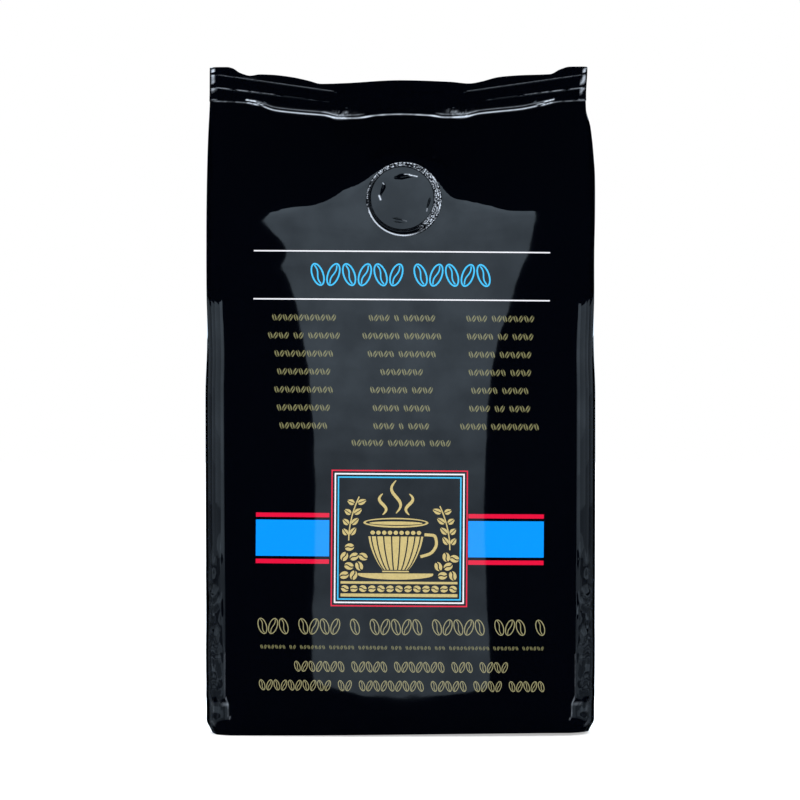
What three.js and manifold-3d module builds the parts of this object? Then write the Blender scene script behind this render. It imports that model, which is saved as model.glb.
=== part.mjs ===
import * as THREE from 'three';
import { mergeVertices } from 'three/addons/utils/BufferGeometryUtils.js';
import Module from 'manifold-3d';

// A shut bag of roasted coffee beans: a side-gusset bag of laminated film, filled, heat-sealed
// along the top and standing on its block bottom, with a degassing valve in the front panel.
// Millimetres, +Z up, the front panel towards -Y, the origin in the middle of the base.

// Body of the bag
const cornerReach = [[0, 49.2], [90, 49.35], [125, 49.75], [137, 49.8], [152, 49.5], [164, 48.9], [173, 49.1]];
const edgeDepth = [[0, 25.0], [48, 25.7], [118, 25.2]];
const panelDepth = [[0, 27.2], [20, 28.8], [52, 29.7], [95, 28.6], [125, 26.0], [147, 23.2], [162, 21.0]];
const cornerRadius = 9.8;
const cornerToEdge = 0.8;
const foldTurn = THREE.MathUtils.degToRad(32);
const lobeSwell = 0.95;
const lobeFadeFrom = 90;
const lobeSkew = 0.8;
const creaseInset = 0.6;
const baseInset = [[0, 2.0], [0.25, 1.75], [1.3, 1.65], [3.2, 0.1], [4.5, 0]];

// Shoulder, where the gussets fold in and the panels close on the seal
const shoulderStart = 118;
const gussetFold = 31;
const middleHold = 0.49;
const bellyPower = 2;
const shoulderPower = 3.5;
const powerFrom = 60;

// Top seal, lower edge and upper edge as heights over the distance from the middle
const sealFoot = [[0, 160.2], [8, 159.8], [14, 159.0], [18, 159.6], [35, 162.0], [40, 163.3], [50, 164.1]];
const sealTop = [[0, 169.2], [9, 168.9], [19, 168.1], [31, 169.7], [38, 170.6], [43, 172.6], [50, 172.7]];
const sealHalfThickness = 0.42;
const layeredHalfThickness = 0.62;
const layerEdge = [17.4, 18.4];
const ribCount = 3;
const ribLift = 0.28;
const sealWave = 0.7;
const sealWaveLength = 38;
const sealEndRadius = 0.25;
const endRound = 0.15;

// Lengthwise seam of the back panel, a flap pressed flat
const seamHalfWidth = 5;
const seamLift = 0.5;
const seamBevel = 0.4;

// Degassing valve
const valveRadius = 9.9;
const valveX = 1;
const valveHeight = 138;
const valveFlat = 11.5;
const valveFade = 9;
const valveSeat = 0.5;
const valveGap = 0.3;
const ringCrest = 0.9;
const dishLevel = 0.3;

// Resolution
const columns = [0, 2.4, 4.6, 5, 8, 11, 14, 17.4, 18.4, 22, 26, 30, 34, 38];
const bodyLevels = [0, 0.25, 1.3, 3.2, 4.5, 9, 16, 25, 35, 45, 56, 67, 78, 89, 99, 109];
const shoulderLevels = [0, 0.1, 0.2, 0.29, 0.38, 0.46, 0.54, 0.61, 0.68, 0.75, 0.82, 0.89, 0.96];
const sealSteps = 12;
const cornerSteps = 4;
const gussetSteps = 5;
const valveSegments = 64;

const filmMaterial = new THREE.MeshStandardMaterial({ color: 0x08090d, roughness: 0.22, metalness: 0 });
const valveMaterial = new THREE.MeshStandardMaterial({ color: 0x2c3036, roughness: 0.3, metalness: 0 });

const { clamp, lerp, smoothstep } = THREE.MathUtils;

// A function through stops of [position, value], level past its ends, smooth unless told otherwise.
function profile(stops, Interpolant = THREE.CubicInterpolant) {
  const positions = stops.map((stop) => stop[0]);
  const values = stops.map((stop) => stop[1]);
  const curve = new Interpolant(positions, values, 1, new Float64Array(1));
  return (position) => curve.evaluate(position)[0];
}

const cornerAt = profile(cornerReach);
const edgeAt = profile(edgeDepth);
const panelAt = profile(panelDepth);
const insetAt = profile(baseInset, THREE.LinearInterpolant);
const footAt = profile(sealFoot);
const topAt = profile(sealTop);
const valveDepth = panelAt(valveHeight);
const leanDrop = panelAt(valveHeight - valveRadius) - panelAt(valveHeight + valveRadius);
const valveLean = Math.atan(leanDrop / (2 * valveRadius));
const foldFoot = footAt(cornerReach[0][1]);
const foldTop = topAt(cornerReach[0][1]);

// Quarter turn that carries the half-gusset from standing across the side to lying in the seal.
function foldAngle(turn) {
  return turn * Math.PI / 2;
}

// Sections: the sizes of one level of the bag, and the height of each of its points.
function bodySection(z) {
  const inset = insetAt(z);
  return {
    corner: cornerAt(z) - inset,
    edge: edgeAt(z) - inset,
    middle: panelAt(z) - inset,
    power: bellyPower + (shoulderPower - bellyPower) * smoothstep(z, powerFrom, shoulderStart),
    radius: cornerRadius,
    crease: creaseInset,
    lobe: lobeSwell * (1 - smoothstep(z, lobeFadeFrom, shoulderStart)),
    heightAt: () => z,
  };
}

function shoulderSection(turn) {
  const angle = foldAngle(turn);
  const nominal = lerp(shoulderStart, foldFoot, turn);
  const middleTurn = clamp((turn - middleHold) / (1 - middleHold), 0, 1);
  const middleHeight = lerp(shoulderStart, footAt(0), turn);
  const edgeSpan = edgeAt(shoulderStart) - layeredHalfThickness;
  const middleSpan = panelAt(middleHeight) - sealHalfThickness;
  const edge = layeredHalfThickness + edgeSpan * Math.cos(angle);
  return {
    corner: cornerAt(nominal),
    edge,
    middle: sealHalfThickness + middleSpan * Math.cos(foldAngle(middleTurn)),
    power: shoulderPower,
    radius: Math.min(cornerRadius, cornerToEdge * edge),
    crease: creaseInset + (gussetFold - creaseInset) * Math.sin(angle),
    lobe: 0,
    heightAt: (x) => lerp(shoulderStart, footAt(Math.abs(x)), turn),
  };
}

function sealSection(share) {
  const nominal = lerp(foldFoot, foldTop, share);
  return {
    corner: cornerAt(nominal),
    edge: layeredHalfThickness,
    middle: layeredHalfThickness,
    power: 1,
    radius: sealEndRadius,
    crease: -endRound,
    lobe: 0,
    seal: true,
    share,
    heightAt: (x) => lerp(footAt(Math.abs(x)), topAt(Math.abs(x)), share),
  };
}

// A corner is an arc from the crease at the panel's edge to the side of the bag.
function flatEndOf(section) {
  return section.corner - section.radius * (1 - Math.sin(foldTurn));
}

// Distance of a panel point from the middle plane of the bag.
function panelReach(section, x) {
  const away = Math.abs(x);
  const flatEnd = flatEndOf(section);
  if (section.seal && away < flatEnd) {
    return lerp(sealHalfThickness, layeredHalfThickness, smoothstep(away, ...layerEdge));
  }
  const past = Math.max(away, flatEnd) - (section.corner - section.radius);
  const across = Math.sqrt(Math.max(0, section.radius ** 2 - past ** 2));
  const rounding = section.radius * Math.cos(foldTurn) - across;
  const crown = (section.middle - section.edge) * (1 - Math.min(1, away / section.corner) ** section.power);
  return section.edge - rounding + crown;
}

// The pressed ribs push both faces of the seal the same way, and the seal waves a little.
function sealShift(section, x) {
  if (!section.seal) {
    return 0;
  }
  const rib = ribLift * Math.sin(section.share * ribCount * 2 * Math.PI);
  return -rib - sealWave * section.share * Math.cos(x * 2 * Math.PI / sealWaveLength);
}

// The stiff valve keeps the front panel flat around itself.
function flattened(x, z, reach) {
  const away = Math.hypot(x - valveX, z - valveHeight);
  const hold = 1 - smoothstep(away, valveFlat, valveFlat + valveFade);
  const plane = valveDepth - (z - valveHeight) * Math.tan(valveLean);
  return lerp(reach, plane, hold);
}

function seamRelief(x) {
  return seamLift * (1 - smoothstep(Math.abs(x), seamHalfWidth - seamBevel, seamHalfWidth));
}

function frontPoint(section, x) {
  const z = section.heightAt(x);
  const reach = panelReach(section, x);
  const y = section.seal ? -reach : -flattened(x, z, reach);
  return new THREE.Vector3(x, y + sealShift(section, x), z);
}

function backPoint(section, x) {
  const y = panelReach(section, x) + seamRelief(x);
  return new THREE.Vector3(x, y + sealShift(section, x), section.heightAt(x));
}

// A gusset point: share 0 is at the front corner fold, 1 at the crease, 2 at the back corner fold.
function gussetPoint(section, side, share) {
  const toCrease = 1 - Math.abs(1 - share);
  const inward = section.seal ? 1 - (1 - toCrease) ** 2 : toCrease;
  const lobe = section.lobe * Math.sin(Math.PI * toCrease ** lobeSkew);
  const x = side * (section.corner - section.crease * inward + lobe);
  const y = (share - 1) * (section.edge - section.radius * Math.cos(foldTurn));
  return new THREE.Vector3(x, y + sealShift(section, x), section.heightAt(x));
}

// The places across a panel, from the middle to the end of the corner arc.
function placesAcross(section) {
  const flatEnd = flatEndOf(section);
  const last = columns[columns.length - 1];
  const rounded = [];
  for (let step = 1; step < cornerSteps; step += 1) {
    const angle = lerp(foldTurn, Math.PI / 2, step / cornerSteps);
    rounded.push(section.corner - section.radius * (1 - Math.sin(angle)));
  }
  return [...columns, lerp(last, flatEnd, 0.5), flatEnd, ...rounded];
}

// One ring of the bag: left crease, front panel, right crease, back panel, always as many points.
function ringOf(section) {
  const across = placesAcross(section);
  const leftToRight = [...across.slice(1).reverse().map((x) => -x), ...across];
  const gussetShares = Array.from({ length: gussetSteps + 1 }, (_, step) => step / gussetSteps);
  const points = [];
  gussetShares.slice().reverse().forEach((share) => points.push(gussetPoint(section, -1, share)));
  leftToRight.forEach((x) => points.push(frontPoint(section, x)));
  gussetShares.forEach((share) => points.push(gussetPoint(section, 1, share)));
  gussetShares.slice(0, -1).reverse().forEach((share) => points.push(gussetPoint(section, 1, 2 - share)));
  leftToRight.slice().reverse().forEach((x) => points.push(backPoint(section, x)));
  gussetShares.slice(0, -1).forEach((share) => points.push(gussetPoint(section, -1, 2 - share)));
  return points;
}

// Joins rings bottom to top, with a fan over the flat base and a strip over the thin top edge.
function loft(rings) {
  const size = rings[0].length;
  const positions = rings.flat().flatMap((point) => point.toArray());
  const triangles = [];
  for (let level = 0; level < rings.length - 1; level += 1) {
    for (let index = 0; index < size; index += 1) {
      const next = (index + 1) % size;
      const low = level * size;
      const high = low + size;
      triangles.push(low + index, low + next, high + next, low + index, high + next, high + index);
    }
  }
  const centre = positions.length / 3;
  positions.push(0, 0, 0);
  for (let index = 0; index < size; index += 1) {
    triangles.push(centre, (index + 1) % size, index);
  }
  const top = (rings.length - 1) * size;
  const half = size / 2;
  for (let index = 0; index < half; index += 1) {
    const opposite = top + (size - index) % size;
    if (index > 0) {
      triangles.push(top + index, top + index + 1, opposite);
    }
    if (index < half - 1) {
      triangles.push(top + index + 1, top + size - index - 1, opposite);
    }
  }
  const geometry = new THREE.BufferGeometry();
  geometry.setAttribute('position', new THREE.Float32BufferAttribute(positions, 3));
  geometry.setIndex(triangles);
  return geometry;
}

function bagGeometry() {
  const seals = Array.from({ length: sealSteps + 1 }, (_, step) => step / sealSteps);
  const sections = [
    ...bodyLevels.map(bodySection),
    ...shoulderLevels.map(shoulderSection),
    ...seals.map(sealSection),
  ];
  return loft(sections.map(ringOf));
}

// Solids for the boolean cut, and back
const wasm = await Module();
wasm.setup();

function toSolid(geometry) {
  const bare = geometry.clone();
  bare.deleteAttribute('normal');
  bare.deleteAttribute('uv');
  const merged = mergeVertices(bare, 1e-4);
  const mesh = new wasm.Mesh({
    numProp: 3,
    vertProperties: new Float32Array(merged.attributes.position.array),
    triVerts: new Uint32Array(merged.index.array),
  });
  return new wasm.Manifold(mesh);
}

function toGeometry(solid) {
  const mesh = solid.getMesh();
  const geometry = new THREE.BufferGeometry();
  geometry.setAttribute('position', new THREE.Float32BufferAttribute(mesh.vertProperties, 3));
  geometry.setIndex(Array.from(mesh.triVerts));
  return geometry;
}

// The valve faces out of the panel: its own +Y is the panel's outward normal.
const valvePlace = new THREE.Matrix4().compose(
  new THREE.Vector3(valveX, -valveDepth, valveHeight),
  new THREE.Quaternion().setFromEuler(new THREE.Euler(Math.PI - valveLean, 0, 0)),
  new THREE.Vector3(1, 1, 1),
);

function seatCutter() {
  const height = 8;
  const cutter = new THREE.CylinderGeometry(
    valveRadius + valveGap, valveRadius + valveGap, height, valveSegments,
  );
  cutter.translate(0, height / 2 - valveSeat, 0);
  return cutter.applyMatrix4(valvePlace);
}

// A welded valve: a flat back, a raised ring at its rim and a dished middle.
function valveGeometry() {
  const back = valveGap - valveSeat;
  const outline = [
    [0, back],
    [valveRadius - 0.2, back],
    [valveRadius, back + 0.2],
    [valveRadius, ringCrest - 0.45],
    [valveRadius - 0.2, ringCrest - 0.1],
    [valveRadius - 0.6, ringCrest],
    [valveRadius - 1.2, ringCrest - 0.1],
    [valveRadius - 1.6, dishLevel + 0.2],
    [valveRadius - 2.2, dishLevel],
    [valveRadius * 0.5, dishLevel - 0.05],
    [0, dishLevel - 0.1],
  ];
  const points = outline.map(([radius, height]) => new THREE.Vector2(radius, height));
  return new THREE.LatheGeometry(points, valveSegments);
}

const bag = new THREE.Mesh(
  toGeometry(toSolid(bagGeometry()).subtract(toSolid(seatCutter()))),
  filmMaterial,
);
bag.name = 'bag';

const valve = new THREE.Mesh(valveGeometry(), valveMaterial);
valve.name = 'valve';
valve.applyMatrix4(valvePlace);

const coffeeBag = new THREE.Group();
coffeeBag.add(bag, valve);

export default coffeeBag;
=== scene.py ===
import math

import bpy
import numpy as np
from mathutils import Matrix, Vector
from mathutils.geometry import delaunay_2d_cdt


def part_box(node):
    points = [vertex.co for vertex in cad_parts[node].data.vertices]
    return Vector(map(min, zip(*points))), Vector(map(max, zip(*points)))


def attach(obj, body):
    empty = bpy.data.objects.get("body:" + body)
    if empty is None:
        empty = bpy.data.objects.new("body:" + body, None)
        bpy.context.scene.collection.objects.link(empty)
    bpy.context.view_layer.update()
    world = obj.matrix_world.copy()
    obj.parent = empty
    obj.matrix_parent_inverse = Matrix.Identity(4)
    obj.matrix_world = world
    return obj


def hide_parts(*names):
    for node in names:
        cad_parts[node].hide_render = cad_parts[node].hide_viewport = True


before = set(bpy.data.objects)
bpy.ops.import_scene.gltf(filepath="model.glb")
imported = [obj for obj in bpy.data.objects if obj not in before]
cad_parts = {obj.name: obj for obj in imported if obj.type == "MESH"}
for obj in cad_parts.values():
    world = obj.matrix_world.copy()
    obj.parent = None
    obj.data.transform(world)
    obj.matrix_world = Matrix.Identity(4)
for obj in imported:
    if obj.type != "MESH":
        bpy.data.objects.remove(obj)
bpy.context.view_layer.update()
bagLow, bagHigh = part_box("bag")
bagHeight = 172.7                                  # mm, seal corner to table
mm = (bagHigh.z - bagLow.z) / bagHeight            # one millimetre of the bag, in metres
scene = bpy.context.scene
print("frame loaded, one bag millimetre is", round(mm, 6), "m")


# small tools

def hexToLinear(hexText):
    channels = [int(hexText[at:at + 2], 16) / 255 for at in (1, 3, 5)]
    return [c / 12.92 if c <= 0.04045 else ((c + 0.055) / 1.055) ** 2.4 for c in channels] + [1.0]


def addNode(tree, kind, settings=None, links=None):
    node = tree.nodes.new(kind)
    for name, value in (settings or {}).items():
        if isinstance(name, int) or name in node.inputs:
            node.inputs[name].default_value = value
        else:
            setattr(node, name, value)
    for name, source in (links or {}).items():
        tree.links.new(source, node.inputs[name])
    return node


def newMaterial(name):
    material = bpy.data.materials.new(name)
    material.use_nodes = True
    material.node_tree.nodes.clear()
    return material, material.node_tree


def finishMaterial(tree, surface, **links):
    shader = addNode(tree, "ShaderNodeBsdfPrincipled", surface, links)
    addNode(tree, "ShaderNodeOutputMaterial", links={"Surface": shader.outputs["BSDF"]})


def addNoise(tree, size, detail, place):
    # size in mm
    return addNode(tree, "ShaderNodeTexNoise", {"Scale": 1 / (size * mm), "Detail": detail},
                   {"Vector": place}).outputs["Fac"]


def addBump(tree, depth, height, strength=1, **links):
    # depth in mm
    return addNode(tree, "ShaderNodeBump", {"Strength": strength, "Distance": depth * mm},
                   {"Height": height, **links}).outputs["Normal"]


def curveThrough(stops, at):
    # smooth curve through the stops, which never swings past them
    places, values = np.array(stops, float).T
    steps = np.diff(values) / np.diff(places)
    slopes = np.zeros(len(places))
    turning = steps[1:] * steps[:-1] <= 0
    both = np.where(turning, 1, steps[1:] + steps[:-1])
    slopes[1:-1] = np.where(turning, 0, 2 * steps[1:] * steps[:-1] / both)
    at = np.clip(at, places[0], places[-1])
    k = np.clip(np.searchsorted(places, at, side="right") - 1, 0, len(places) - 2)
    span = places[k + 1] - places[k]
    t = (at - places[k]) / span
    start = (2 * t ** 3 - 3 * t ** 2 + 1) * values[k] + (t ** 3 - 2 * t ** 2 + t) * span * slopes[k]
    return start + (3 * t ** 2 - 2 * t ** 3) * values[k + 1] + (t ** 3 - t ** 2) * span * slopes[k + 1]


def smoothStep(low, high, at):
    t = np.clip((at - low) / (high - low), 0, 1)
    return t * t * (3 - 2 * t)


def between(low, high, at, soft):
    return smoothStep(low - soft, low + soft, at) * (1 - smoothStep(high - soft, high + soft, at))


def within(limits, at):
    return (at > limits[0]) & (at < limits[1])


def tableAt(table, x, pitch):
    # reads a random table along x, each side of the bag in its own half of it
    return np.interp(np.abs(x) / pitch + np.where(x < 0, 0, len(table) / 2), np.arange(len(table)), table)


def makeMesh(name, points, faces, material):
    mesh = bpy.data.meshes.new(name)
    mesh.from_pydata((np.asarray(points) * mm).tolist(), [], faces)
    mesh.materials.append(material)
    mesh.shade_smooth()
    mesh.update()
    piece = bpy.data.objects.new(name, mesh)
    scene.collection.objects.link(piece)
    return piece


# camera: a long lens, level, square on to the printed panel

cameraSetup = {
    "distance": 1400,        # mm from the middle of the bag
    "height": 85.9,          # mm above the table
    "lens": 241.9,           # mm on a 36 mm sensor
}

camera = bpy.data.objects.new("camera", bpy.data.cameras.new("camera"))
camera.data.lens = cameraSetup["lens"]
camera.data.sensor_width = 36
camera.data.clip_start = 0.05
camera.data.clip_end = 20
camera.location = (0, -cameraSetup["distance"] * mm, cameraSetup["height"] * mm)
camera.rotation_euler = (math.radians(90), 0, 0)
scene.collection.objects.link(camera)
scene.camera = camera
print("camera set")


# lights: softboxes whose shapes show in the gloss, and an even sky for the inks

lightSetup = {
    "middle": (0, 0, 80),                # mm, what the softboxes face
    # azimuth and elevation in degrees, sizes in mm; glow as (share of the height, glow), from the bottom up;
    # a softbox off the middle stands on both sides
    "softboxes": {
        "frontSoftbox": dict(
            azimuth=0, elevation=8.2, distance=1515, wide=520, tall=890, bands=32,
            glow=[(0, 1.06), (0.1, 1.04), (0.2, 0.86), (0.25, 0.92), (0.3, 1.1), (0.36, 1.4), (0.42, 1.56),
                  (0.5, 1.62), (0.6, 1.52), (0.7, 1.42), (0.78, 1.6), (0.88, 1.95), (1, 2.05)]),
        "backSoftbox": dict(azimuth=180, elevation=3, distance=1500, wide=520, tall=1000, glow=[(0, 1.4)]),
        "creaseSoftbox": dict(
            azimuth=67, elevation=-6.3, distance=908, wide=353, tall=543, bands=12,
            glow=[(0, 0.5), (0.38, 0.6), (0.45, 0.8), (0.49, 0.5), (0.56, 0.55), (0.62, 0.95), (0.72, 1.3),
                  (0.85, 1.4), (1, 1.4)]),
        "sideSoftbox": dict(
            azimuth=89, elevation=-7.4, distance=908, wide=353, tall=507, bands=12,
            glow=[(0, 0.2), (0.38, 0.25), (0.43, 0.6), (0.47, 0.5), (0.5, 0.11), (0.58, 0.12), (0.64, 0.42),
                  (0.73, 0.72), (0.83, 0.86), (1, 0.9)]),
        "gussetSoftbox": dict(
            azimuth=108.5, elevation=-8.3, distance=908, wide=271, tall=478, bands=12,
            glow=[(0, 0.16), (0.4, 0.2), (0.46, 0.5), (0.5, 0.4), (0.53, 0.07), (0.61, 0.07), (0.68, 0.24),
                  (0.77, 0.4), (0.87, 0.5), (1, 0.52)]),
        "rearSoftbox": dict(
            azimuth=131, elevation=-8.5, distance=1000, wide=600, tall=439, bands=8,
            glow=[(0, 0.1), (0.5, 0.1), (0.55, 0.13), (0.64, 0.06), (0.74, 0.08), (0.86, 0.17), (0.94, 0.19),
                  (1, 0.2)]),
        "edgeSoftbox": dict(azimuth=152, elevation=-8.4, distance=1000, wide=180, tall=440, bands=5,
                            glow=[(0, 0.05), (0.6, 0.03), (1, 0.1)]),
        "foldStrip": dict(azimuth=43, elevation=-4.2, distance=1300, wide=90, tall=510, glow=[(0, 2.5)]),
        "rearTopStrip": dict(azimuth=180, elevation=30, distance=1000, wide=1300, tall=340, glow=[(0, 7)]),
    },
    "colour": "#D6ECFF",
    "wattsPerGlow": math.pi,             # watts for one square metre at a glow of 1
}


def addSoftbox(name, azimuth, elevation, distance, wide, tall, glow, bands=1):
    # a softbox is a stack of even bands, so that it can be brighter at one end
    turn, rise = math.radians(azimuth), math.radians(elevation)
    away = Vector((math.sin(turn) * math.cos(rise), -math.cos(turn) * math.cos(rise), math.sin(rise)))
    upward = Vector((-math.sin(turn) * math.sin(rise), math.cos(turn) * math.sin(rise), math.cos(rise)))
    for index in range(bands):
        share = (index + 0.5) / bands
        light = bpy.data.lights.new(name, "AREA")
        light.shape = "RECTANGLE"
        light.size, light.size_y = wide * mm, tall / bands * mm
        light.color = hexToLinear(lightSetup["colour"])[:3]
        light.energy = np.interp(share, *zip(*glow)) * lightSetup["wattsPerGlow"] * light.size * light.size_y
        band = bpy.data.objects.new(name, light)
        band.location = (Vector(lightSetup["middle"]) + away * distance + upward * (share - 0.5) * tall) * mm
        band.rotation_euler = away.to_track_quat("Z", "Y").to_euler()
        band.visible_camera = False
        scene.collection.objects.link(band)


for lightName, setup in lightSetup["softboxes"].items():
    addSoftbox(lightName, **setup)
    if setup["azimuth"] % 180:
        addSoftbox(lightName, **{**setup, "azimuth": -setup["azimuth"]})

world = bpy.data.worlds.new("studio")
scene.world = world
world.use_nodes = True
world.node_tree.nodes.clear()
rays = addNode(world.node_tree, "ShaderNodeLightPath")
sky = addNode(world.node_tree, "ShaderNodeBackground", {"Color": (1, 1, 1, 1), "Strength": 1.0})
dark = addNode(world.node_tree, "ShaderNodeBackground", {"Color": (0, 0, 0, 1), "Strength": 1.0})
mixed = addNode(world.node_tree, "ShaderNodeMixShader", links={
    0: rays.outputs["Is Glossy Ray"], 1: sky.outputs[0], 2: dark.outputs[0]})
addNode(world.node_tree, "ShaderNodeOutputWorld", links={"Surface": mixed.outputs[0]})
scene.view_settings.view_transform = "Standard"
print("lights set")


# floor: opal acrylic sheet lit from below, left out of the bag's gloss

floorSetup = {"size": 12000, "colour": "#FFFFFF", "grain": 0.6, "grainDepth": 0.05, "backlight": 0.45}

floorMaterial, tree = newMaterial("opalAcrylicSheet")
place = addNode(tree, "ShaderNodeTexCoord").outputs["Object"]
grain = addNoise(tree, floorSetup["grain"], 2, place)
finishMaterial(tree, {"Base Color": hexToLinear(floorSetup["colour"]), "Roughness": 0.9,
                      "Specular IOR Level": 0, "Emission Color": hexToLinear(floorSetup["colour"]),
                      "Emission Strength": floorSetup["backlight"]},
               Normal=addBump(tree, floorSetup["grainDepth"], grain, 0.2))
half = floorSetup["size"] / 2
floor = makeMesh("floor", [(-half, -half, 0), (half, -half, 0), (half, half, 0), (-half, half, 0)],
                 [(0, 1, 2, 3)], floorMaterial)
floor.location.z = -0.02 * mm
floor.visible_glossy = False
print("floor made")


# the film: polyester and aluminium laminate, gravure printed black under a gloss face

filmSetup = {
    "colour": "#020307",
    "paintedHighlightColour": "#E3EDFA",       # painted highlight colour: the softboxes' glints on hard folds, ribs and welds of the film
    "index": 1.49,
    "roughness": 0.02,
    "scuffRoughness": 0.035,
    "scuffSize": 9,                  # mm
    "beanSize": 9,                   # mm, beans pressing from inside
    "beanDepth": 0.01,               # mm
    "peelSize": 1.6,                 # mm, slow waves of the laminate
    "peelDepth": 0.0006,             # mm
    "hazeSize": 10,                  # mm, patches where the face is a little more or less glossy
    "hazeRange": (0.42, 0.58),       # specular level of the patches
}


def makeFilmMaterial():
    # gloss laminate: near black, with a mirror-like face that the softboxes draw on
    material, tree = newMaterial("glossBlackLaminate")
    place = addNode(tree, "ShaderNodeTexCoord").outputs["Object"]
    rough = addNode(tree, "ShaderNodeMapRange", {
        "From Min": 0.35, "From Max": 0.75,
        "To Min": filmSetup["roughness"], "To Max": filmSetup["scuffRoughness"]},
        {"Value": addNoise(tree, filmSetup["scuffSize"], 4, place)})
    beanBump = addBump(tree, filmSetup["beanDepth"], addNoise(tree, filmSetup["beanSize"], 1, place))
    peel = addNoise(tree, filmSetup["peelSize"], 2, place)
    shine = addNode(tree, "ShaderNodeMapRange", {
        "From Min": 0.35, "From Max": 0.65,
        "To Min": filmSetup["hazeRange"][0], "To Max": filmSetup["hazeRange"][1]},
        {"Value": addNoise(tree, filmSetup["hazeSize"], 5, place)})
    # the "crease" attribute mixes painted highlights into the film's colour: glints of folds, ribs and welds
    crease = addNode(tree, "ShaderNodeAttribute", {"attribute_name": "crease"})
    colour = addNode(tree, "ShaderNodeMix", {
        "data_type": "RGBA", 6: hexToLinear(filmSetup["colour"]), 7: hexToLinear(filmSetup["paintedHighlightColour"])},
        {0: crease.outputs["Fac"]})
    finishMaterial(tree, {"IOR": filmSetup["index"]}, Roughness=rough.outputs["Result"],
                   Normal=addBump(tree, filmSetup["peelDepth"], peel, Normal=beanBump),
                   **{"Base Color": colour.outputs[2], "Specular IOR Level": shine.outputs["Result"]})
    return material


filmMaterial = makeFilmMaterial()
print("film material made")


# bag shape, all in mm of the real bag; x to the right, z up, depth away from the middle plane

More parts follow.
